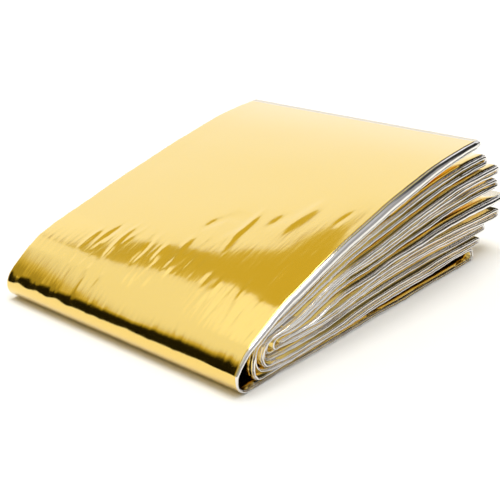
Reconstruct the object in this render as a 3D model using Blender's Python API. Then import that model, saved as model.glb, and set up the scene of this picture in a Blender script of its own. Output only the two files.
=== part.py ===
"""An emergency foil blanket, folded into a wedge-shaped stack of leaves.

The sheet is pleated into a strip about 100 mm wide, and the strip runs back and forth in sixteen
leaves that were then closed like a book: every leaf turns at the spine, one turn inside the next,
and neighbouring leaves turn at their loose ends. It is one piece, so it is one solid, whose
thickness is that of the pleated strip.

Frame: metres, +Z up. The stack lies on Z = 0, with the middle of its box over the origin. The spine
is at -X and runs along Y, and the loose ends are at +X. The tables are in millimetres, with x
counted from the foremost point that the spine's outer turn was drawn from.
"""

import math

import bmesh
import bpy
from mathutils import Matrix, Vector, geometry

MM = 0.001

# Driving sizes, in millimetres
WIDTH = 100.0  # of the pleated strip, along the spine
PRESSED = 1.0  # thickness of the strip where it is pressed together
PITCH = 1.37  # from strip to strip where they are pressed together
TOP_GAP = 0.55  # under the top leaf, which is thicker
PACKED_X = 34.0  # the leaves are pressed together up to here
MIDDLE_X = 65.0  # the table's middle levels are here
RIGHT_SWELL = 0.9  # how much higher the right side's middle stands, and how much lower the left's
Y_STATIONS = 5
LEAF_STATIONS = 19
SPINE_POINTS = 9
TIP_POINTS = 6

# The top leaf, which is the loosest: its outer surface's height at each x, and its thickness.
PROFILE_COLUMNS = ("x", "height", "thickness")
PROFILE_ROWS = (
    (0.0, 8.5, 2.0),
    (5.0, 12.9, 2.3),
    (10.0, 16.7, 2.9),
    (20.0, 21.0, 3.7),
    (40.0, 28.9, 4.7),
    (65.0, 36.2, 5.2),
    (95.0, 42.8, 5.0),
    (126.0, 46.0, 3.8),
    (160.0, 46.0, 3.8),
)

# One row for each leaf, from the top down: how far its loose end reaches, its middle's height
# there and at MIDDLE_X, its thickness at the loose end, and how far it sticks out on the right.
# Those that the profile above or the floor sets are None.
LEAF_COLUMNS = ("reach", "tip", "middle", "bulk", "slip")
LEAF_ROWS = (
    (126.0, None, None, None, 0.0),
    (134.0, 37.7, 28.5, 1.6, -0.9),
    (134.0, 35.2, 26.3, 1.6, -0.5),
    (141.0, 32.7, 24.1, 1.6, 0.6),
    (141.0, 30.3, 22.1, 1.6, 0.3),
    (143.5, 27.1, 20.2, 1.5, -0.6),
    (143.5, 24.8, 18.3, 1.5, -0.2),
    (148.0, 20.2, 16.3, 2.4, 0.9),
    (145.0, 15.3, 14.3, 1.5, 0.4),
    (145.0, 13.2, 12.4, 1.5, 0.0),
    (137.0, 11.4, 10.5, 1.4, -0.8),
    (137.0, 9.7, 8.7, 1.3, -0.4),
    (131.5, 8.0, 6.9, 1.3, 0.5),
    (131.5, 6.2, 5.0, 1.3, 0.2),
    (128.0, 4.3, 3.0, 1.3, -0.5),
    (128.0, None, None, 1.0, 0.0),
)

# The turns at the spine, from the outermost in: where the upper and the lower leaf start to turn,
# and how far the turn's two handles reach, as a share of the distance between the leaves.
TURN_COLUMNS = ("upper_x", "lower_x", "upper_handle", "lower_handle")
TURN_ROWS = (
    (1.6, 4.2, 0.28, 0.54),
    (9.0, 9.8, 0.22, 0.52),
    (12.4, 12.8, 0.30, 0.50),
    (16.0, 16.2, 0.36, 0.50),
    (20.0, 20.0, 0.42, 0.50),
    (24.2, 24.2, 0.50, 0.52),
    (28.8, 28.8, 0.58, 0.58),
    (34.6, 34.6, 0.64, 0.64),
)
TIP_HANDLE = 0.62  # the same share for the turns at the loose ends

PROFILE = [dict(zip(PROFILE_COLUMNS, row)) for row in PROFILE_ROWS]
LEAVES = [dict(zip(LEAF_COLUMNS, row)) for row in LEAF_ROWS]
TURNS = [dict(zip(TURN_COLUMNS, row)) for row in TURN_ROWS]


def eased(t):
    """0 below 0, 1 above 1, and a smooth step between."""
    t = min(1.0, max(0.0, t))
    return t * t * (3 - 2 * t)


def mixed(a, b, share):
    return a + (b - a) * share


def slope_at(k, column):
    """A column's slope at one row of the profile: the mean of the stretches beside it."""
    beside = PROFILE[max(0, k - 1) : k + 2]
    slopes = [(b[column] - a[column]) / (b["x"] - a["x"]) for a, b in zip(beside, beside[1:])]
    return sum(slopes) / len(slopes)


def profile_at(x, column):
    """A column of the profile at any x, through the rows with no corner."""
    k = max(i for i in range(len(PROFILE) - 1) if PROFILE[i]["x"] <= max(0.0, x))
    a, b = PROFILE[k], PROFILE[k + 1]
    run = b["x"] - a["x"]
    t = (x - a["x"]) / run
    step = 3 * t**2 - 2 * t**3
    into = (t**3 - 2 * t**2 + t) * slope_at(k, column) * run
    out = (t**3 - t**2) * slope_at(k + 1, column) * run
    return mixed(a[column], b[column], step) + into + out


def top_height(x):
    return profile_at(x, "height")


def steepness(x):
    """The top surface's rise per millimetre, as it also is for the leaves pressed against it."""
    step = 0.5
    return (top_height(x + step) - top_height(x - step)) / (2 * step)


def packed_height(leaf, x):
    """Middle of a leaf where they are pressed together: the upper half against the top surface,
    the lower half against the floor."""
    from_floor = len(LEAVES) - 1 - leaf
    if leaf > from_floor:
        return PRESSED / 2 + PITCH * from_floor
    top_leaf = profile_at(x, "thickness")
    down = top_leaf / 2
    if leaf > 0:
        down = top_leaf + TOP_GAP + PRESSED / 2 + PITCH * (leaf - 1)
    return top_height(x) - down * math.hypot(1.0, steepness(x))


def leaf_height(leaf, x):
    row = LEAVES[leaf]
    if leaf in (0, len(LEAVES) - 1):  # the top surface and the floor set these two all the way
        return packed_height(leaf, x)
    at_middle = row["middle"] / top_height(MIDDLE_X)
    at_tip = row["tip"] / top_height(row["reach"])
    if x > MIDDLE_X:
        share = eased((x - MIDDLE_X) / (row["reach"] - MIDDLE_X))
        return top_height(x) * mixed(at_middle, at_tip, share)
    share = eased((x - PACKED_X) / (MIDDLE_X - PACKED_X))
    return mixed(packed_height(leaf, x), top_height(x) * at_middle, share)


def leaf_bulk(leaf, x):
    """Thickness of the pleated strip, which opens up towards the leaf's loose end."""
    if leaf == 0:
        return profile_at(x, "thickness")
    row = LEAVES[leaf]
    return mixed(PRESSED, row["bulk"], eased((x - PACKED_X) / (row["reach"] - PACKED_X)))


def leaf_points(leaf, from_x, to_x):
    """A leaf's (x, height, thickness, slip) between its two turns, closer together at the spine."""
    near, far = min(from_x, to_x), max(from_x, to_x)
    shares = [(i / (LEAF_STATIONS - 1)) ** 1.35 for i in range(LEAF_STATIONS)]
    xs = [mixed(near, far, share) for share in shares]
    if from_x > to_x:
        xs.reverse()
    slip = LEAVES[leaf]["slip"]
    return [(x, leaf_height(leaf, x), leaf_bulk(leaf, x), slip) for x in xs]


def turn_points(start, end, before, after, handles, count):
    """A turn between two leaves' end points, leaving and arriving along the leaves."""
    a, b = Vector(start[:2]), Vector(end[:2])
    gap = (b - a).length
    out = (a - Vector(before[:2])).normalized() * gap * handles[0]
    back = (b - Vector(after[:2])).normalized() * gap * handles[1]
    curve = geometry.interpolate_bezier(a, a + out, b + back, b, count + 2)[1:-1]
    shares = [(i + 1) / (count + 1) for i in range(count)]
    return [
        (p[0], p[1], mixed(start[2], end[2], share), mixed(start[3], end[3], share))
        for p, share in zip(curve, shares)
    ]


def leaf_order():
    """The leaves in the order in which the strip runs through them, from its top loose end: a turn
    at the spine joins each leaf to its mirror in the stack, and one at a loose end to the next leaf
    towards the stack's middle."""
    last = len(LEAVES) - 1
    order = [0]
    while len(order) < len(LEAVES):
        mirror = last - order[-1]
        order.append(mirror)
        if len(order) < len(LEAVES):
            order.append(mirror + 1 if mirror <= last // 2 else mirror - 1)
    return order


def spine_x(leaf):
    """Where a leaf starts to turn at the spine."""
    last = len(LEAVES) - 1
    if leaf <= last // 2:
        return TURNS[leaf]["upper_x"]
    return TURNS[last - leaf]["lower_x"]


def strip_line():
    """The whole strip, end to end, as (x, height, thickness, slip)."""
    line = []
    turn = None
    for n, leaf in enumerate(leaf_order()):
        tip_x = LEAVES[leaf]["reach"]
        ends = (tip_x, spine_x(leaf)) if n % 2 == 0 else (spine_x(leaf), tip_x)
        points = leaf_points(leaf, *ends)
        if line:
            line += turn_points(line[-1], points[0], line[-2], points[1], *turn)
        line += points
        if n % 2 == 0:
            row = TURNS[min(leaf, len(LEAVES) - 1 - leaf)]
            upper, lower = row["upper_handle"], row["lower_handle"]
            down = leaf < len(LEAVES) // 2
            turn = ((upper, lower) if down else (lower, upper), SPINE_POINTS)
        else:
            turn = ((TIP_HANDLE, TIP_HANDLE), TIP_POINTS)
    return line


def make_blanket():
    line = strip_line()
    thickest = max(point[2] for point in line)
    bm = bmesh.new()
    weights = bm.verts.layers.deform.verify()
    made = bmesh.ops.create_grid(
        bm, x_segments=len(line) - 1, y_segments=Y_STATIONS - 1, size=0.5
    )
    mesh = bpy.data.meshes.new("foil_blanket")
    obj = bpy.data.objects.new("foil_blanket", mesh)
    obj.vertex_groups.new(name="thickness")
    for index, vert in enumerate(made["verts"]):
        row, column = divmod(index, len(line))
        x, height, thickness, slip = line[column]
        across = row / (Y_STATIONS - 1)
        swell = RIGHT_SWELL * (1 - 2 * across) * math.sin(math.pi * eased(x / 124.0))
        y = mixed(-WIDTH / 2 - slip, WIDTH / 2 - slip, across)
        level = height + swell * max(0.0, height - PRESSED) / top_height(x)
        vert.co = Vector((x, y, level)) * MM
        vert[weights][0] = thickness / thickest
    bm.to_mesh(mesh)
    bm.free()
    bpy.context.scene.collection.objects.link(obj)
    wall = obj.modifiers.new("strip thickness", "SOLIDIFY")
    wall.thickness = thickest * MM
    wall.offset = 0.0
    wall.use_even_offset = True
    wall.vertex_group = "thickness"
    wall.thickness_vertex_group = 0.0
    solid = obj.evaluated_get(bpy.context.evaluated_depsgraph_get())
    low, high = (Vector(map(end, zip(*solid.bound_box))) for end in (min, max))
    mesh.transform(Matrix.Translation((-(low.x + high.x) / 2, -(low.y + high.y) / 2, -low.z)))
    return obj


def gold_foil():
    """Polyester film with a vapour coat of aluminium under a clear gold lacquer."""
    material = bpy.data.materials.new("gold_foil")
    material.use_nodes = True
    shader = material.node_tree.nodes["Principled BSDF"]
    shader.inputs["Base Color"].default_value = (0.90, 0.60, 0.13, 1.0)
    shader.inputs["Metallic"].default_value = 1.0
    shader.inputs["Roughness"].default_value = 0.12
    return material


def main():
    for old in list(bpy.data.objects):
        bpy.data.objects.remove(old)
    make_blanket().data.materials.append(gold_foil())


main()
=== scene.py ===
"""The looks of an emergency foil blanket, folded into a loose wedge-shaped stack.

The blanket is one sheet of metallised film, gold on one face and silver on the other. It starts as
a flat grid. A function then folds each point of it twice: across, into a strip of six plies, and
along, into the sixteen leaves of the stack. The six plies stand for about sixteen real ones.

Lengths in the tables are in millimetres. There x runs from the spine to the loose ends and y along
the spine, both from the stack's nearest corner.
"""

import math

import bmesh
import bpy
import numpy as np
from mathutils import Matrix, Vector, geometry


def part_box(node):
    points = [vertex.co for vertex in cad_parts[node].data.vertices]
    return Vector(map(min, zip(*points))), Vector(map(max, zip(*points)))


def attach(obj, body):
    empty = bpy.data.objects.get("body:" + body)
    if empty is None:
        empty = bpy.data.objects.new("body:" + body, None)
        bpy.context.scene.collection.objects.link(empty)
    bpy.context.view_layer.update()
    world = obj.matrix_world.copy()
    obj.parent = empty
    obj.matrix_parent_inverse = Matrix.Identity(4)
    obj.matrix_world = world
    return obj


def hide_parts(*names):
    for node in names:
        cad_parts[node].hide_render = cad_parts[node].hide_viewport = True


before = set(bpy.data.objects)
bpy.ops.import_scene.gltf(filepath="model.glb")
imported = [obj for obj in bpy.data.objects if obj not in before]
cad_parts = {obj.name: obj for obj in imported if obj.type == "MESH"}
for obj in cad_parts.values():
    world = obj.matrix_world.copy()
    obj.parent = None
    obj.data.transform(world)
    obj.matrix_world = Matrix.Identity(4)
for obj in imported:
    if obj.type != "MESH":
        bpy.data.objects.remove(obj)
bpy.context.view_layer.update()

MM = 0.001

# ---------------------------------------------------------------- the stack's own sizes

WIDTH = 100.0  # of the pleated strip, along the spine
PRESSED = (0.75, 1.0)  # thickness of a leaf at the spine and where the leaves start to spread
PITCH = (0.95, 1.37)  # from leaf to leaf, at the same two places
SPINE_X = 12.0  # up to here the leaves are at their tightest
TOP_GAP = 1.0  # under the top leaf, which is thicker
PACKED_X = 34.0  # the leaves are pressed together up to here
MIDDLE_X = 65.0  # the leaf table's middle levels are here
FRONT = 0.4  # how far the spine's foremost line stands before x = 0
FILM = 0.05  # the film is really 0.012 thick, which is too thin for neighbouring faces to keep apart

# The top leaf: its upper surface's height at each x, and its thickness.
PROFILE_COLUMNS = ("x", "height", "thickness")
PROFILE_ROWS = (
    (0.0, 8.5, 2.0),
    (5.0, 12.9, 2.3),
    (10.0, 16.7, 2.9),
    (20.0, 21.0, 3.7),
    (40.0, 28.9, 4.7),
    (65.0, 36.2, 5.2),
    (95.0, 42.8, 5.0),
    (126.0, 46.0, 3.8),
    (160.0, 46.0, 3.8),
)

# One row for each leaf, from the top down: how far its loose end reaches, its middle's height
# there and at MIDDLE_X, its thickness at the loose end, and how far it sticks out on the right.
# Those that the profile above or the floor sets are None.
LEAF_COLUMNS = ("reach", "tip", "middle", "bulk", "slip")
LEAF_ROWS = (
    (126.0, None, None, None, 0.0),
    (134.0, 37.7, 28.5, 1.6, -0.9),
    (134.0, 35.2, 26.3, 1.6, -0.5),
    (141.0, 32.7, 24.1, 1.6, 0.6),
    (141.0, 30.3, 22.1, 1.6, 0.3),
    (143.5, 27.1, 20.2, 1.5, -0.6),
    (143.5, 24.8, 18.3, 1.5, -0.2),
    (148.0, 20.2, 16.3, 2.4, 0.9),
    (145.0, 15.3, 14.3, 1.5, 0.4),
    (145.0, 13.2, 12.4, 1.5, 0.0),
    (137.0, 11.4, 10.5, 1.4, -0.8),
    (137.0, 9.7, 8.7, 1.3, -0.4),
    (131.5, 8.0, 6.9, 1.3, 0.5),
    (131.5, 6.2, 5.0, 1.3, 0.2),
    (128.0, 4.3, 3.0, 1.3, -0.5),
    (128.0, None, None, 1.0, 0.0),
)

# The turns at the spine, from the outermost in: where the upper and the lower leaf start to turn,
# and how far the turn's two handles reach, as a share of the distance between the leaves. The
# outermost turn has its own table.
TURN_COLUMNS = ("upper_x", "lower_x", "upper_handle", "lower_handle")
TURN_ROWS = (
    (1.1, None, None, None),
    (10.0, 10.8, 0.22, 0.52),
    (13.2, 13.6, 0.30, 0.50),
    (14.8, 15.0, 0.34, 0.50),
    (16.2, 16.3, 0.38, 0.50),
    (17.6, 17.6, 0.44, 0.50),
    (19.0, 19.0, 0.50, 0.52),
    (20.6, 20.6, 0.60, 0.60),
)
TIP_HANDLE = 0.62  # both handles of a turn at the loose ends, as the same share
SWELL = 1.22  # the inner leaves are this many times as thick as PRESSED and their table say

# The outermost turn's outer face, from the crease at its top: the distance along it, and its
# direction there in degrees below level, from the way that the spine faces.
NOSE_COLUMNS = ("along", "heading")
NOSE_ROWS = ((0.0, 59.0), (2.9, 77.0), (5.8, 110.0), (9.0, 146.0), (12.6, 180.0))
CREASE_X = 0.4  # where the top face ends, at that crease
THINNING = 1.4  # the turn is as thin as the bottom leaf after 1 / 1.4 of its length

# Each row is an x, and the top surface's height there at each of TOP_PLACES along the spine. The
# surface climbs steeply to a soft shoulder, at about x = 35 on the right and x = 14 on the left.
TOP_PLACES = (0.0, 28.0, 42.0, 65.0, 100.0)
TOP_ROWS = (
    (0.0, 8.5, 8.5, 8.5, 8.5, 8.5),
    (2.0, 11.0, 10.6, 10.4, 10.4, 10.4),
    (4.5, 13.2, 12.7, 12.4, 12.5, 12.6),
    (8.0, 15.2, 15.0, 14.8, 15.1, 15.2),
    (12.0, 17.4, 17.3, 17.2, 17.6, 17.7),
    (14.0, 18.5, 18.45, 18.35, 18.65, 18.8),
    (16.0, 19.6, 19.55, 19.5, 19.6, 19.6),
    (20.0, 21.6, 21.6, 21.45, 21.4, 21.0),
    (24.0, 23.3, 23.4, 23.25, 23.0, 22.3),
    (28.0, 24.95, 25.1, 24.9, 24.35, 23.55),
    (33.0, 26.95, 26.95, 26.65, 25.9, 25.05),
    (40.0, 29.4, 29.1, 28.8, 28.0, 27.1),
    (50.0, 32.5, 32.1, 31.7, 30.8, 29.9),
    (65.0, 36.4, 36.0, 35.6, 34.9, 33.9),
    (85.0, 40.8, 40.6, 40.5, 40.0, 39.2),
    (105.0, 44.3, 44.1, 44.0, 43.9, 43.5),
    (126.0, 46.0, 46.0, 46.0, 46.0, 46.0),
    (160.0, 46.0, 46.0, 46.0, 46.0, 46.0),
)

# The right-hand edge of the top rolls down by EDGE_ROLL, fading out over ROLL_WIDTH to the left. At
# each end of the roll, it starts at the first x and is full at the second.
EDGE_ROLL = 0.5
ROLL_WIDTH = 7.0
ROLL_NEAR, ROLL_FAR = (16.0, 30.0), (74.0, 54.0)

# Creases in the top face, from one end to the other, with their width and height. A hollow's
# height is below 0.
CREASE_COLUMNS = ("from_x", "from_y", "to_x", "to_y", "width", "height")
CREASE_ROWS = (
    (33.0, 69.0, 12.0, 69.0, 0.9, 0.20),
    (32.0, 60.0, 15.5, 56.0, 0.7, -0.14),
    (54.0, 35.0, 28.0, 31.0, 1.1, 0.26),
    (65.0, 19.0, 42.0, 20.0, 2.2, 0.28),
    (32.0, 65.0, 19.0, 67.0, 0.6, 0.10),
    (62.0, 6.5, 52.5, 7.5, 0.8, -0.14),
    (36.0, 7.6, 18.0, 8.4, 0.5, 0.10),
    (7.0, 25.6, 1.4, 24.6, 0.5, 0.07),
    (9.0, 68.5, 2.0, 69.0, 0.6, 0.08),
    (33.0, 47.0, 25.5, 44.6, 1.0, 0.20),
    (22.0, 44.5, 15.0, 42.5, 0.8, 0.18),
    (22.0, 28.7, 16.4, 28.0, 0.7, -0.12),
    (36.0, 47.0, 45.0, 42.0, 1.3, -0.30),
    (46.0, 44.0, 44.0, 33.0, 1.5, -0.34),
    (41.0, 33.0, 33.0, 36.0, 1.4, 0.20),
    (52.0, 24.0, 44.0, 27.0, 1.6, -0.26),
    (30.0, 74.0, 17.0, 76.0, 0.9, -0.22),
    (27.0, 52.0, 17.0, 50.0, 1.0, 0.22),
    (26.0, 80.0, 14.0, 80.5, 0.8, 0.18),
)

CREASE_ENDS = 0.35  # a crease fades in and out over this share of its length
CREASE_SWAY = 0.04  # it strays from a straight line by this share of its length
CREASE_DEPTH = 1.5  # it fades away into the stack over this depth

# The faint creases near the shoulder: their number, and the ranges that each one's values are
# drawn from. A lean is a mean and a spread, in degrees.
CREASE_SEED = 7
FAINT_COUNT = 70
FAINT_Y, FAINT_LENGTH, FAINT_LEAN = (3.0, 84.0), (3.0, 11.0), (6.0, 9.0)
FAINT_WIDTH, FAINT_RISE = (0.35, 0.8), (0.05, 0.16)  # the rise is a share of the width
FAINT_X, FAINT_SPREAD = (26.0, 17.0), 8.0  # where they gather, at y = 0 and 80, and how widely
FAINT_LEAST_X = 2.0  # none ends nearer to the spine than this

# The short crumples along the right-hand edge, in the same way.
CRUMPLE_COUNT = 46
CRUMPLE_X, CRUMPLE_Y = (3.0, 42.0), (0.3, 7.0)
CRUMPLE_THINNING = 1.1  # y is raised to this power, which takes the outer ones further in
CRUMPLE_LENGTH, CRUMPLE_LEAN = (1.5, 4.5), (-25.0, 20.0)
CRUMPLE_HEIGHT, CRUMPLE_WIDTH = (0.04, 0.10), (0.25, 0.45)

# Dents along the outermost turn's crease: their place along it, width and depth.
DENT_COLUMNS = ("y", "width", "depth")
DENT_ROWS = (
    (98.5, 2.2, 0.20),
    (94.0, 1.5, -0.10),
    (89.6, 1.8, 0.15),
    (84.5, 1.2, -0.09),
    (79.8, 1.4, 0.13),
    (74.8, 2.0, -0.12),
    (69.7, 1.5, 0.16),
    (60.0, 1.2, 0.10),
    (54.2, 0.9, 0.07),
    (43.0, 3.0, -0.08),
    (33.6, 1.2, 0.08),
    (23.4, 1.2, 0.07),
    (12.0, 4.0, -0.10),
    (5.6, 0.9, -0.06),
    (2.5, 1.5, -0.12),
)

PROFILE = [dict(zip(PROFILE_COLUMNS, row)) for row in PROFILE_ROWS]
LEAVES = [dict(zip(LEAF_COLUMNS, row)) for row in LEAF_ROWS]
TURNS = [dict(zip(TURN_COLUMNS, row)) for row in TURN_ROWS]

# How finely each stretch of the strip is divided.
TOP_LEAF_STEPS = 56
NOSE_STEPS = 26
LEAF_STEPS = 15
SPINE_STEPS = 7
TIP_STEPS = 6
PLY_STEPS = 8  # across the top ply
TOP_PLY_CUTS = 24  # more lines between two of those, on the top leaf
BEND_STEPS = 4
EDGE_CUTS = 2  # more lines between two of the strip's, on the right-hand bends
BESIDE_BEND = 0.03  # those lines reach this share of the width beyond the bend on both sides
CROWDING = 1.2  # 1 would space a leaf's lines evenly, and more draws them towards the spine
NOSE_SUBSTEPS = 40  # of each step, when the outermost turn's outline is worked out

# The strip's plies, from the one on the top leaf's face down. Levels are shares of the leaf's
# thickness from its middle, at the ply's right end, over its length, and at its left end.
PLY_COLUMNS = ("right", "middle", "left")
PLY_ROWS = (
    (0.48, 0.47, 0.48),
    (0.42, 0.28, 0.20),
    (-0.20, 0.10, 0.13),
    (-0.26, -0.10, -0.13),
    (-0.43, -0.28, -0.20),
    (-0.48, -0.47, -0.48),
)
PLIES = [dict(zip(PLY_COLUMNS, row)) for row in PLY_ROWS]
OPENING = 9.0  # the plies part over this length towards a bend
SLIP_SPREAD = 1.2  # the film's edges stand out or back this many times as far as the leaf table says
BEND_ROOM = 1.5  # the cloth that a bend takes up

# How unevenly the plies lie at the strip's two edges, fading out over EDGE_REACH. Each wave has its
# depth and its length along the strip.
EDGE_REACH = 25.0
TOP_WAVE, LEAF_WAVE = 0.12, 0.28  # depths at the right-hand edge, on the top leaf and the others
RIGHT_LENGTH, SHORT_LENGTH = 41.0, 7.0
SHORT_SHARE = 0.5  # the short wave's depth there, as a share of the long one's
LEFT_LONG, LEFT_SHORT = (0.28, 47.0), (0.16, 7.0)
NEAT_FROM, NEAT_OVER = 6.0, 20.0  # the edges are neat round this place past the crease
LIFT, LIFT_LENGTH, LIFT_SEED = 0.16, 53.0, 4.4  # of the inner leaves' right-hand edges
LIFT_FROM, LIFT_OVER = 30.0, 40.0  # it eases in this far past the outermost turn, over this length

# At the right-hand edge, how far the lower bend stands behind the upper one, on the top leaf and on
# the others, and how far the bottom ply's edge stands behind it.
BEHIND_TOP, BEHIND_LEAF, BEHIND_LAST = 0.25, 0.65, 0.3
TUCK, TUCK_OVER = 2.4, 9.0  # the inner turns lie this much further in, over this length

# The crease's own line, and the bulge below it at the right-hand end.
DENT_OVER = 1.5  # along the strip
BULGE, BULGE_Y, BULGE_FROM, BULGE_OVER = 0.4, 12.0, 1.8, 1.3


def eased(t):
    """0 below 0, 1 above 1, and a smooth step between; for numbers and arrays."""
    t = np.clip(t, 0.0, 1.0)
    return t * t * (3 - 2 * t)


def mixed(a, b, share):
    return a + (b - a) * share


def wander(t, period, seed):
    """A smooth uneven wave from -1 to 1 along t, different for each seed."""
    parts = ((1.0, 0.45), (0.618, 0.3), (1.73, 0.25))  # each wave's stretch and weight
    return sum(
        weight * np.sin(2 * math.pi * t / (period * stretch) + 12.9898 * seed + 5.3 * stretch)
        for stretch, weight in parts
    )


# ---------------------------------------------------------------- the strip's line through the leaves


def slope_at(k, column):
    """A column's slope at one row of the profile: the mean of the stretches beside it."""
    beside = PROFILE[max(0, k - 1) : k + 2]
    slopes = [(b[column] - a[column]) / (b["x"] - a["x"]) for a, b in zip(beside, beside[1:])]
    return sum(slopes) / len(slopes)


def profile_at(x, column):
    """A column of the profile at any x, through the rows with no corner."""
    k = max(i for i in range(len(PROFILE) - 1) if PROFILE[i]["x"] <= max(0.0, x))
    a, b = PROFILE[k], PROFILE[k + 1]
    run = b["x"] - a["x"]
    t = (x - a["x"]) / run
    step = 3 * t**2 - 2 * t**3
    into = (t**3 - 2 * t**2 + t) * slope_at(k, column) * run
    out = (t**3 - t**2) * slope_at(k + 1, column) * run
    return mixed(a[column], b[column], step) + into + out


def top_height(x):
    return profile_at(x, "height")


def tightness(sizes, x):
    """A size of the pressed leaves at x, between its values at the spine and at PACKED_X."""
    return mixed(*sizes, eased((x - SPINE_X) / (PACKED_X - SPINE_X)))


def packed_height(leaf, x):
    """Middle of a leaf where they are pressed together: the upper half against the top surface,
    the lower half against the floor."""
    from_floor = len(LEAVES) - 1 - leaf
    pressed, pitch = tightness(PRESSED, x), tightness(PITCH, x)
    if leaf > from_floor:
        return pressed / 2 + pitch * from_floor
    top_leaf = profile_at(x, "thickness")
    down = top_leaf / 2
    if leaf > 0:
        down = top_leaf + TOP_GAP + pressed / 2 + pitch * (leaf - 1)
    step = 0.5
    steepness = (top_height(x + step) - top_height(x - step)) / (2 * step)
    return top_height(x) - down * math.hypot(1.0, steepness)


def leaf_height(leaf, x):
    row = LEAVES[leaf]
    if leaf in (0, len(LEAVES) - 1):  # the top surface and the floor set these two all the way
        return packed_height(leaf, x)
    at_middle = row["middle"] / top_height(MIDDLE_X)
    at_tip = row["tip"] / top_height(row["reach"])
    if x > MIDDLE_X:
        share = eased((x - MIDDLE_X) / (row["reach"] - MIDDLE_X))
        return top_height(x) * mixed(at_middle, at_tip, share)
    share = eased((x - PACKED_X) / (MIDDLE_X - PACKED_X))
    return mixed(packed_height(leaf, x), top_height(x) * at_middle, share)


def leaf_bulk(leaf, x):
    if leaf == 0:
        return profile_at(x, "thickness")
    row = LEAVES[leaf]
    bulk = mixed(tightness(PRESSED, x), row["bulk"], eased((x - PACKED_X) / (row["reach"] - PACKED_X)))
    return bulk if leaf == len(LEAVES) - 1 else bulk * SWELL


def leaf_points(leaf, from_x, to_x, steps):
    """A leaf's (x, height, thickness, slip) between its two turns, closer together at the spine."""
    near, far = min(from_x, to_x), max(from_x, to_x)
    xs = [mixed(near, far, (i / steps) ** CROWDING) for i in range(steps + 1)]
    if from_x > to_x:
        xs.reverse()
    slip = LEAVES[leaf]["slip"]
    return [(x, leaf_height(leaf, x), leaf_bulk(leaf, x), slip) for x in xs]


def through(stations, rows, at):
    """Smooth curves through rows of values at the stations, read at each place in at."""
    rows = np.asarray(rows, float)
    slopes = np.gradient(rows, stations, axis=0)
    k = np.clip(np.searchsorted(stations, at, side="right") - 1, 0, len(stations) - 2)
    run = stations[k + 1] - stations[k]
    t = (at - stations[k]) / run
    extra = (slice(None),) + (None,) * (rows.ndim - 1)
    t, run = t[extra], run[extra]
    rise = 3 * t**2 - 2 * t**3
    into, out = (t**3 - 2 * t**2 + t) * run, (t**3 - t**2) * run
    return mixed(rows[k], rows[k + 1], rise) + into * slopes[k] + out * slopes[k + 1]


def top_surface(x, y):
    """Height of the top surface, which isn't the same all along the spine."""
    table = np.array(TOP_ROWS)
    x = np.clip(x, table[0, 0], table[-1, 0])
    y = np.clip(y, 0.0, WIDTH)
    at_x = through(table[:, 0], table[:, 1:], x)
    places = np.array(TOP_PLACES)
    slopes = np.gradient(at_x, places, axis=1)
    k = np.clip(np.searchsorted(places, y, side="right") - 1, 0, len(places) - 2)
    n = np.arange(len(x))
    roll = EDGE_ROLL * np.exp(-((y / ROLL_WIDTH) ** 2))
    for start, full in (ROLL_NEAR, ROLL_FAR):
        roll = roll * eased((x - start) / (full - start))
    run = places[k + 1] - places[k]
    t = (y - places[k]) / run
    rise = 3 * t**2 - 2 * t**3
    into, out = (t**3 - 2 * t**2 + t) * run, (t**3 - t**2) * run
    return (
        mixed(at_x[n, k], at_x[n, k + 1], rise) + into * slopes[n, k] + out * slopes[n, k + 1] - roll
    )


def creases(x, y):
    """How far the creases raise or lower the top face."""
    rise = np.zeros(len(x))
    for values in CREASE_ROWS + scattered_creases():
        row = dict(zip(CREASE_COLUMNS, values))
        start = np.array([row["from_x"], row["from_y"]])
        line = np.array([row["to_x"], row["to_y"]]) - start
        length = np.hypot(*line)
        along = ((x - start[0]) * line[0] + (y - start[1]) * line[1]) / length
        across = ((x - start[0]) * line[1] - (y - start[1]) * line[0]) / length
        across = across + CREASE_SWAY * length * wander(along, length * 1.3, row["from_y"])
        fade = CREASE_ENDS * length
        ends = eased(along / fade) * eased((length - along) / fade)
        width = row["width"] * mixed(0.5, 1.0, ends)
        rise += row["height"] * ends * np.exp(-((across / width) ** 2))
    return rise


def dents(y):
    """How far the dents take the outermost turn's crease inwards."""
    rows = [dict(zip(DENT_COLUMNS, values)) for values in DENT_ROWS]
    return sum(row["depth"] * np.exp(-(((y - row["y"]) / row["width"]) ** 2)) for row in rows)


def crease_row(x, y, length, lean, width, height):
    """One row of the crease table, for a crease with its middle at x, y."""
    dx, dy = length / 2 * math.cos(lean), length / 2 * math.sin(lean)
    return (x + dx, y + dy, x - dx, y - dy, width, height)


def scattered_creases():
    """The faint creases and the crumples, in the same form as the crease table's rows."""
    rng = np.random.default_rng(CREASE_SEED)
    rows = []
    for _ in range(FAINT_COUNT):
        y = rng.uniform(*FAINT_Y)
        x = mixed(*FAINT_X, y / 80.0) + rng.normal(0, FAINT_SPREAD)
        length, lean = rng.uniform(*FAINT_LENGTH), math.radians(rng.normal(*FAINT_LEAN))
        width = rng.uniform(*FAINT_WIDTH)
        height = width * rng.uniform(*FAINT_RISE) * rng.choice((-1, 1))
        row = crease_row(x, y, length, lean, width, height)
        if row[2] > FAINT_LEAST_X:
            rows.append(row)
    for _ in range(CRUMPLE_COUNT):
        x, y = rng.uniform(*CRUMPLE_X), rng.uniform(*CRUMPLE_Y) ** CRUMPLE_THINNING
        length, lean = rng.uniform(*CRUMPLE_LENGTH), math.radians(rng.normal(*CRUMPLE_LEAN))
        height = rng.uniform(*CRUMPLE_HEIGHT) * rng.choice((-1, 1))
        rows.append(crease_row(x, y, length, lean, rng.uniform(*CRUMPLE_WIDTH), height))
    return tuple(rows)


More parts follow.
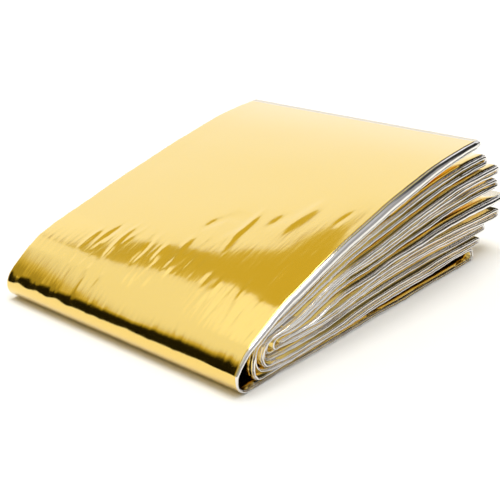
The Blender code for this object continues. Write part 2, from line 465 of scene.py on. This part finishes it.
def nose_points(steps):
    """The middle of the outermost turn, between the top leaf and the bottom one."""
    nose = dict(zip(NOSE_COLUMNS, zip(*NOSE_ROWS)))
    along = np.linspace(0.0, nose["along"][-1], NOSE_SUBSTEPS * steps + 1)
    heading = np.radians(np.interp(along, nose["along"], nose["heading"]))
    step = along[1]
    x = CREASE_X - np.concatenate([[0.0], np.cumsum(np.cos(heading))[:-1] * step])
    down = np.concatenate([[0.0], np.cumsum(np.sin(heading))[:-1] * step])
    z = top_height(CREASE_X) * (1 - down / down[-1])
    share = along / along[-1]
    bulk = mixed(profile_at(0.0, "thickness"), PRESSED[0], eased(share * THINNING))
    x, z = x + np.sin(heading) * bulk / 2, z - np.cos(heading) * bulk / 2
    points = np.stack([x, z, bulk, np.zeros(len(x))], axis=1)
    return [tuple(p) for p in points[::NOSE_SUBSTEPS]]


def turn_points(start, end, before, after, handles, steps):
    """A turn between two leaves' end points, leaving and arriving along the leaves."""
    a, b = Vector(start[:2]), Vector(end[:2])
    gap = (b - a).length
    out = (a - Vector(before[:2])).normalized() * gap * handles[0]
    back = (b - Vector(after[:2])).normalized() * gap * handles[1]
    curve = geometry.interpolate_bezier(a, a + out, b + back, b, steps + 1)[1:-1]
    shares = [(i + 1) / steps for i in range(steps - 1)]
    return [
        (p[0], p[1], mixed(start[2], end[2], share), mixed(start[3], end[3], share))
        for p, share in zip(curve, shares)
    ]


def leaf_order():
    """The leaves in the order in which the strip runs through them, from its top loose end: a turn
    at the spine joins each leaf to its mirror in the stack, and one at a loose end to the next leaf
    towards the stack's middle."""
    last = len(LEAVES) - 1
    order = [0]
    while len(order) < len(LEAVES):
        mirror = last - order[-1]
        order.append(mirror)
        if len(order) < len(LEAVES):
            order.append(mirror + 1 if mirror <= last // 2 else mirror - 1)
    return order


def spine_x(leaf):
    """Where a leaf starts to turn at the spine."""
    last = len(LEAVES) - 1
    if leaf == last:
        return nose_points(NOSE_STEPS)[-1][0]
    if leaf <= last // 2:
        return TURNS[leaf]["upper_x"]
    return TURNS[last - leaf]["lower_x"]


def strip_line():
    """The whole strip, end to end, as rows of x, height, thickness and slip."""
    line = []
    turn = None
    for n, leaf in enumerate(leaf_order()):
        tip_x = LEAVES[leaf]["reach"]
        ends = (tip_x, spine_x(leaf)) if n % 2 == 0 else (spine_x(leaf), tip_x)
        points = leaf_points(leaf, *ends, TOP_LEAF_STEPS if leaf == 0 else LEAF_STEPS)
        if n == 1:
            line += nose_points(NOSE_STEPS)[1:-1]
        elif line:
            line += turn_points(line[-1], points[0], line[-2], points[1], *turn)
        line += points
        if n % 2 == 0:
            row = TURNS[min(leaf, len(LEAVES) - 1 - leaf)]
            upper, lower = row["upper_handle"], row["lower_handle"]
            handles = (upper, lower) if leaf < len(LEAVES) // 2 else (lower, upper)
            turn = (handles, SPINE_STEPS)
        else:
            turn = ((TIP_HANDLE, TIP_HANDLE), TIP_STEPS)
    return np.array(line)


class Strip:
    """The strip's line, read at any length along it."""

    def __init__(self):
        line = strip_line()
        self.x, self.z, self.bulk, self.slip = line.T
        along = np.gradient(line[:, :2], axis=0)
        along /= np.linalg.norm(along, axis=1)[:, None]
        self.out_x, self.out_z = along[:, 1], -along[:, 0]  # away from the outermost leaf's inside
        steps = np.hypot(np.diff(self.x), np.diff(self.z))
        self.length = np.concatenate([[0.0], np.cumsum(steps)])
        self.crease = self.length[TOP_LEAF_STEPS]
        self.nose_end = self.length[TOP_LEAF_STEPS + NOSE_STEPS]
        self.spine_turns = self.length[1:-1][
            (np.diff(self.x)[:-1] < 0) & (np.diff(self.x)[1:] >= 0) & (self.x[1:-1] < MIDDLE_X)
        ]

    def at(self, length):
        names = ("x", "z", "bulk", "slip", "out_x", "out_z")
        return (np.interp(length, self.length, getattr(self, name)) for name in names)


# ---------------------------------------------------------------- the sheet

PERIOD = WIDTH + BEND_ROOM


def ply_rows():
    """The flat sheet's lines across its width: each ply's, then its bend's."""
    shares = (0.03, 0.09, 0.5, 0.91, 0.97, 1.0)
    under_top = (0.03, 0.09, 0.35, 0.58, 0.75, 0.91, 0.97, 1.0)
    rows = [0.0]
    for ply in range(len(PLIES)):
        stations = (np.arange(1, PLY_STEPS + 1) / PLY_STEPS, under_top, shares)[min(ply, 2)]
        rows += [ply * PERIOD + WIDTH * share for share in stations]
        if ply < len(PLIES) - 1:
            start = rows[-1]
            rows += [start + BEND_ROOM * (i + 1) / BEND_STEPS for i in range(BEND_STEPS)]
    return np.array(rows)


def folded_across(v):
    """Where a point of the sheet is in the strip: its ply, its y from 0 at the right, its level in
    the leaf's thickness as a share of it, and how far a bend carries it past the ply's end."""
    ply = np.minimum(v // PERIOD, len(PLIES) - 1).astype(int)
    inside = v - ply * PERIOD
    in_bend = inside > WIDTH + 1e-6
    levels = {name: np.array([row[name] for row in PLIES]) for name in PLY_COLUMNS}
    t = np.clip(inside, 0.0, WIDTH)
    leftward = ply % 2 == 0
    y = np.where(leftward, t, WIDTH - t)
    to_right, to_left = (1 - eased(y / OPENING)), (1 - eased((WIDTH - y) / OPENING))
    level = levels["middle"][ply]
    level = mixed(level, levels["right"][ply], to_right)
    level = mixed(level, levels["left"][ply], to_left)
    after = np.minimum(ply + 1, len(PLIES) - 1)
    side = np.where(leftward, levels["left"][after], levels["right"][after])
    start = np.where(leftward, levels["left"][ply], levels["right"][ply])
    angle = math.pi * np.clip((inside - WIDTH) / BEND_ROOM, 0.0, 1.0)
    level = np.where(in_bend, mixed(start, side, (1 - np.cos(angle)) / 2), level)
    bulge = np.abs(side - start) / 2 * np.sin(angle) * in_bend
    return ply, y, level, bulge * np.where(leftward, 1.0, -1.0)


def fold(flat, strip):
    """The folded place of each point (u along the strip, v across the sheet) of the flat sheet."""
    u, v = flat.T
    x, z, bulk, slip, out_x, out_z = strip.at(u)
    ply, y, level, bulge = folded_across(v)
    seed = (ply + 1) // 2
    at_right = 1 - eased(y / EDGE_REACH)
    at_left = 1 - eased((WIDTH - y) / EDGE_REACH)
    sideways = bulge * bulk - SLIP_SPREAD * slip * at_right
    loose = eased(np.abs(u - strip.crease - NEAT_FROM) / NEAT_OVER)
    wave = np.where(u < strip.crease, TOP_WAVE, LEAF_WAVE)
    sideways -= at_right * loose * wave * wander(u, RIGHT_LENGTH, seed)
    sideways -= at_right * loose * wave * SHORT_SHARE * wander(u, SHORT_LENGTH, seed + 0.3)
    long = LEFT_LONG[0] * wander(u, LEFT_LONG[1], seed + 0.5)
    short = LEFT_SHORT[0] * wander(u, LEFT_SHORT[1], seed)
    sideways += at_left * loose * (long + short)
    # the lower bend stands behind the upper one, and the bottom ply's edge between the two
    lower = np.where(u < strip.crease, BEHIND_TOP, BEHIND_LEAF)
    sideways += at_right * np.where(seed == 2, lower, BEHIND_LAST * (seed == 3))
    tucked = sum(np.exp(-(((u - turn) / TUCK_OVER) ** 2)) for turn in strip.spine_turns[2:])
    sideways += at_right * TUCK * tucked
    inner = eased((u - strip.nose_end - LIFT_FROM) / LIFT_OVER)
    inner = inner * eased((strip.length[-1] - u) / LIFT_OVER)
    shift = inner * at_right * LIFT * wander(u, LIFT_LENGTH, LIFT_SEED)
    off = level * (bulk - FILM) + FILM / 2 + shift
    px, pz = x + out_x * off, z + out_z * off
    past_crease = u - strip.crease
    px += dents(y) * np.exp(-((past_crease / DENT_OVER) ** 2))
    px -= BULGE * np.exp(-((y / BULGE_Y) ** 2) - ((past_crease - BULGE_FROM) / BULGE_OVER) ** 2)
    # the whole stack follows the top surface, the more so the higher a point is
    under = np.maximum(px, CREASE_X)
    full = np.interp(under, *line_of_tops())
    top = top_surface(under, y)
    pz += (top - full) * np.clip(pz / full, 0.0, 1.05)
    depth = np.clip(top - pz, 0.0, None)
    pz += creases(px, y) * np.exp(-depth / CREASE_DEPTH) * (past_crease < 0)
    return np.stack([px, y + sideways, pz], axis=1)


def line_of_tops():
    """The profile's height at many x."""
    xs = np.linspace(-3.0, 160.0, 600)
    return xs, np.array([top_height(x) for x in xs])


def make_sheet(strip):
    """The one sheet of film: a flat grid, finer where it shows most, and folded."""
    columns, rows = strip.length, ply_rows()
    bm = bmesh.new()
    made = bmesh.ops.create_grid(
        bm, x_segments=len(columns) - 1, y_segments=len(rows) - 1, size=0.5
    )
    for index, vert in enumerate(made["verts"]):
        row, column = divmod(index, len(columns))
        vert.co = (columns[column], rows[row], 0.0)
    refine(bm, (0.0, strip.nose_end), (0.0, WIDTH), 1, TOP_PLY_CUTS)
    for ply in range(1, len(PLIES) - 1, 2):
        low = ply * PERIOD + WIDTH * (1 - BESIDE_BEND)
        reach = (low, low + WIDTH * 2 * BESIDE_BEND + BEND_ROOM)
        refine(bm, (strip.nose_end, columns[-1]), reach, 0, EDGE_CUTS)
    bmesh.ops.reverse_faces(bm, faces=bm.faces)
    uv = bm.loops.layers.uv.new("flat sheet")
    for face in bm.faces:
        face.smooth = True
        for loop in face.loops:
            loop[uv].uv = loop.vert.co.xy * MM
    flat = np.array([v.co.xy for v in bm.verts])
    low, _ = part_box("foil_blanket")
    corner = np.array([low.x / MM + FRONT, -WIDTH / 2, 0.0])
    for vert, place in zip(bm.verts, (fold(flat, strip) + corner) * MM):
        vert.co = place
    mesh = bpy.data.meshes.new("foil_sheet")
    bm.to_mesh(mesh)
    bm.free()
    sheet = bpy.data.objects.new("foil_sheet", mesh)
    bpy.context.scene.collection.objects.link(sheet)
    film = sheet.modifiers.new("film", "SOLIDIFY")
    film.thickness = FILM * MM
    film.offset = -1.0
    film.use_even_offset = False
    film.material_offset = 1
    film.material_offset_rim = 1
    return sheet


def refine(bm, reach_u, reach_v, axis, cuts):
    """Cuts the edges that run along one axis of the flat sheet, inside one rectangle of it."""
    edges = []
    for edge in bm.edges:
        (u1, v1, _), (u2, v2, _) = (vert.co for vert in edge.verts)
        inside = (
            reach_u[0] - 0.01 < min(u1, u2)
            and max(u1, u2) < reach_u[1] + 0.01
            and reach_v[0] - 0.01 < min(v1, v2)
            and max(v1, v2) < reach_v[1] + 0.01
        )
        if inside and abs((u1 - u2, v1 - v2)[axis]) > 1e-6:
            edges.append(edge)
    bmesh.ops.subdivide_edges(bm, edges=edges, cuts=cuts, use_grid_fill=True)


# ---------------------------------------------------------------- materials


def linear(hex_colour):
    """A colour given as sRGB hex, in the linear values that a shader takes."""
    parts = [int(hex_colour[i : i + 2], 16) / 255 for i in (0, 2, 4)]
    return [p / 12.92 if p <= 0.04045 else ((p + 0.055) / 1.055) ** 2.4 for p in parts] + [1.0]


def add_node(tree, kind, settings=None, links=None):
    """Adds a node, with its properties or unlinked sockets set, and its sockets linked."""
    node = tree.nodes.new(kind)
    for name, value in (settings or {}).items():
        if isinstance(name, int) or name in node.inputs:
            node.inputs[name].default_value = value
        else:
            setattr(node, name, value)
    for name, socket in (links or {}).items():
        tree.links.new(socket, node.inputs[name])
    return node


LACQUER_IOR = 1.7  # above a plain lacquer's 1.5, which gives the gold a paler sheen
LACQUER_ROUGHNESS = 0.08


def film_material(name, colour, roughness, coat, crumple, depth):
    """Bright metal, under lacquer where coat is 1. Its finest crinkles are bump: crumple is their
    size along and across the strip, and depth their height, in millimetres."""
    material = bpy.data.materials.new(name)
    material.use_nodes = True
    tree = material.node_tree
    shader = tree.nodes["Principled BSDF"]
    shader.inputs["Base Color"].default_value = linear(colour)
    shader.inputs["Metallic"].default_value = 1.0
    shader.inputs["Roughness"].default_value = roughness
    shader.inputs["Coat Weight"].default_value = coat
    shader.inputs["Coat IOR"].default_value = LACQUER_IOR
    shader.inputs["Coat Roughness"].default_value = LACQUER_ROUGHNESS
    flat = add_node(tree, "ShaderNodeUVMap", {"uv_map": "flat sheet"}).outputs["UV"]
    scale = (1 / (crumple[0] * MM), 1 / (crumple[1] * MM), 1.0)
    sized = add_node(tree, "ShaderNodeMapping", {"Scale": scale}, {"Vector": flat}).outputs[0]
    cells = add_node(
        tree,
        "ShaderNodeTexVoronoi",
        {"feature": "SMOOTH_F1", "Scale": 1.0, "Smoothness": 0.25},
        {"Vector": sized},
    )
    ripples = add_node(
        tree, "ShaderNodeTexNoise", {"Scale": 1.6, "Detail": 3.0}, {"Vector": sized}
    )
    both = add_node(
        tree,
        "ShaderNodeMath",
        {"operation": "ADD"},
        {0: cells.outputs["Distance"], 1: ripples.outputs["Fac"]},
    )
    bump = add_node(
        tree,
        "ShaderNodeBump",
        {"Distance": depth * MM},
        {"Height": both.outputs[0]},
    )
    tree.links.new(bump.outputs[0], shader.inputs["Normal"])
    return material


# ---------------------------------------------------------------- stage


def direction(azimuth, elevation):
    """Unit vector towards a compass direction from +X towards +Y, and a height, in degrees."""
    a, e = math.radians(azimuth), math.radians(elevation)
    return Vector((math.cos(a) * math.cos(e), math.sin(a) * math.cos(e), math.sin(e)))


AIM = (-27.6, -14.9, 20.0)  # the point that the camera looks at, from the frame's origin
LOOK = (40.47, -21.37)  # the way it looks: azimuth and elevation
DISTANCE = 298.9
LENS, SENSOR = 67.9, 36.0


def make_camera():
    data = bpy.data.cameras.new("camera")
    data.lens = LENS
    data.sensor_width = SENSOR
    camera = bpy.data.objects.new("camera", data)
    bpy.context.scene.collection.objects.link(camera)
    towards = direction(*LOOK)
    camera.location = (Vector(AIM) - towards * DISTANCE) * MM
    camera.rotation_euler = towards.to_track_quat("-Z", "Y").to_euler()
    data.clip_start = 0.01
    bpy.context.scene.camera = camera


def make_floor():
    """Matt white paper, with next to no gloss."""
    bm = bmesh.new()
    bmesh.ops.create_grid(bm, x_segments=1, y_segments=1, size=3.0)
    mesh = bpy.data.meshes.new("floor")
    bm.to_mesh(mesh)
    bm.free()
    floor = bpy.data.objects.new("floor", mesh)
    bpy.context.scene.collection.objects.link(floor)
    material = bpy.data.materials.new("white_paper")
    material.use_nodes = True
    shader = material.node_tree.nodes["Principled BSDF"]
    shader.inputs["Base Color"].default_value = linear("F4F4F4")
    shader.inputs["Roughness"].default_value = 0.9
    shader.inputs["Specular IOR Level"].default_value = 0.1
    mesh.materials.append(material)


# The film shows mostly what it reflects, so the studio is a sky with soft panels of light in it, by
# the direction in which each one stands. Angles are in degrees.
PANEL_COLUMNS = ("azimuth", "half_width", "side_blur", "low", "high", "blur", "strength")
PANEL_ROWS = (
    (36.0, 35.0, 3.0, -5.0, 46.5, 2.0, 1.18),  # behind: the pale far part of the top face
    (82.0, 17.0, 3.0, -5.0, 42.5, 1.5, 1.22),  # behind, on the left: that face's left side
    (106.0, 12.0, 3.0, -5.0, 24.0, 5.0, 0.9),  # low on the left: that face, seen from the right
    (130.0, 46.0, 3.0, 36.0, 70.0, 7.0, 1.12),  # left: the pale band by the spine
    (94.0, 15.0, 3.0, 49.5, 62.0, 2.0, 1.3),  # the brightest part of that band
    (-60.0, 45.0, 12.0, 52.0, 70.0, 4.0, 0.6),  # high on the right: a weak fill
    (0.0, 172.0, 7.0, 70.0, 88.0, 1.5, 6.7),  # overhead: the main light on the floor
)
WALL, DIM = 0.44, 0.74  # the sky between the panels, below and above WALL_TOP
WALL_TOP = (38.0, 48.0)  # it goes from one to the other over these elevations
SHADE = (-14.0, 26.0, 14.0)  # darker, behind on the right: azimuth, half-widths outside and inside
SHADE_SHARE = 0.08
OPENING_AT = (136.0, 20.0, 10.0)  # a dark opening on the left, below WALL_TOP, in the same way
DARK = 0.01
WARM_SIDE = (105.0, 105.0, 85.0)  # the sky is tinted on this side where it is dim
WARM_TINT = "FFE761"
WARM_RANGE = (0.75, 1.0)  # the tint fades out between these strengths


def make_world():
    """The studio's sky. The camera sees plain white in its place."""
    world = bpy.data.worlds.new("studio")
    bpy.context.scene.world = world
    world.use_nodes = True
    tree = world.node_tree
    tree.nodes.clear()
    coords = add_node(tree, "ShaderNodeTexCoord").outputs["Generated"]
    height = add_node(tree, "ShaderNodeSeparateXYZ", links={0: coords}).outputs["Z"]
    level = add_node(
        tree, "ShaderNodeVectorMath", {"operation": "MULTIPLY", 1: (1, 1, 0)}, {0: coords}
    )
    level = add_node(tree, "ShaderNodeVectorMath", {"operation": "NORMALIZE"}, {0: level.outputs[0]})

    def step(value, start, end, low=0.0, high=1.0):
        settings = {
            "interpolation_type": "SMOOTHSTEP",
            "From Min": start,
            "From Max": end,
            "To Min": low,
            "To Max": high,
        }
        return add_node(tree, "ShaderNodeMapRange", settings, {"Value": value}).outputs[0]

    def sine(degrees):
        return math.sin(math.radians(degrees))

    def sector(azimuth, from_angle, to_angle):
        facing = add_node(
            tree,
            "ShaderNodeVectorMath",
            {"operation": "DOT_PRODUCT", 1: direction(azimuth, 0.0)},
            {0: level.outputs[0]},
        ).outputs["Value"]
        return step(facing, *(math.cos(math.radians(a)) for a in (from_angle, to_angle)))

    def times(a, b):
        settings = {"operation": "MULTIPLY"}
        if isinstance(b, float):
            return add_node(tree, "ShaderNodeMath", settings | {1: b}, {0: a}).outputs[0]
        return add_node(tree, "ShaderNodeMath", settings, {0: a, 1: b}).outputs[0]

    wall_top = [sine(angle) for angle in WALL_TOP]
    total = step(height, *wall_top, WALL, DIM)
    total = times(total, step(sector(*SHADE), 0.0, 1.0, 1.0, SHADE_SHARE))
    opening = times(sector(*OPENING_AT), step(height, *wall_top, 1.0, 0.0))
    total = times(total, step(opening, 0.0, 1.0, 1.0, DARK / WALL))
    for values in PANEL_ROWS:
        row = dict(zip(PANEL_COLUMNS, values))
        half, side, blur = row["half_width"], row["side_blur"], row["blur"]
        lit = sector(row["azimuth"], half + side, half - side)
        lit = times(lit, step(height, sine(row["low"] - blur), sine(row["low"] + blur)))
        lit = times(lit, step(height, sine(row["high"] - blur), sine(row["high"] + blur), 1.0, 0.0))
        lit = times(lit, row["strength"])
        total = add_node(
            tree, "ShaderNodeMath", {"operation": "MAXIMUM"}, {0: total, 1: lit}
        ).outputs[0]
    seen = add_node(tree, "ShaderNodeLightPath").outputs["Is Camera Ray"]
    warmth = times(sector(*WARM_SIDE), step(total, *WARM_RANGE, 1.0, 0.0))
    plainness = step(warmth, 0.0, 1.0, 1.0, 0.0)
    colour = add_node(
        tree,
        "ShaderNodeMix",
        {"data_type": "RGBA", "A": linear(WARM_TINT), "B": linear("FFFFFF")},
        {"Factor": plainness},
    )
    studio = add_node(
        tree, "ShaderNodeBackground", links={"Color": colour.outputs["Result"], "Strength": total}
    )
    plain = add_node(tree, "ShaderNodeBackground", {"Color": (1, 1, 1, 1), "Strength": 1.0})
    both = add_node(
        tree,
        "ShaderNodeMixShader",
        links={0: seen, 1: studio.outputs[0], 2: plain.outputs[0]},
    )
    add_node(tree, "ShaderNodeOutputWorld", links={"Surface": both.outputs[0]})


def main():
    strip = Strip()
    sheet = make_sheet(strip)
    # Polyester film, metallised with aluminium in a vacuum. A clear yellow lacquer over one face
    # gives a deep gold mirror with a second, paler gloss, and fine crinkles where it was folded.
    gold = film_material(
        "gold_metallised_film",
        colour="E7C65F",
        roughness=0.12,
        coat=1.0,
        crumple=(9.0, 1.6),
        depth=0.018,
    )
    # The other face is the aluminium itself: a colourless mirror, whose crinkles break what it
    # reflects into bright and dark lines.
    silver = film_material(
        "silver_metallised_film",
        colour="E6E3E1",
        roughness=0.10,
        coat=0.0,
        crumple=(12.0, 1.6),
        depth=0.035,
    )
    for material in (gold, silver):
        sheet.data.materials.append(material)
    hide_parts("foil_blanket")
    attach(sheet, "root")
    flat = (float(ply_rows()[-1]) * MM, float(strip.length[-1]) * MM)
    make_camera()
    make_floor()
    make_world()
    bpy.context.scene.view_settings.view_transform = "Standard"


main()
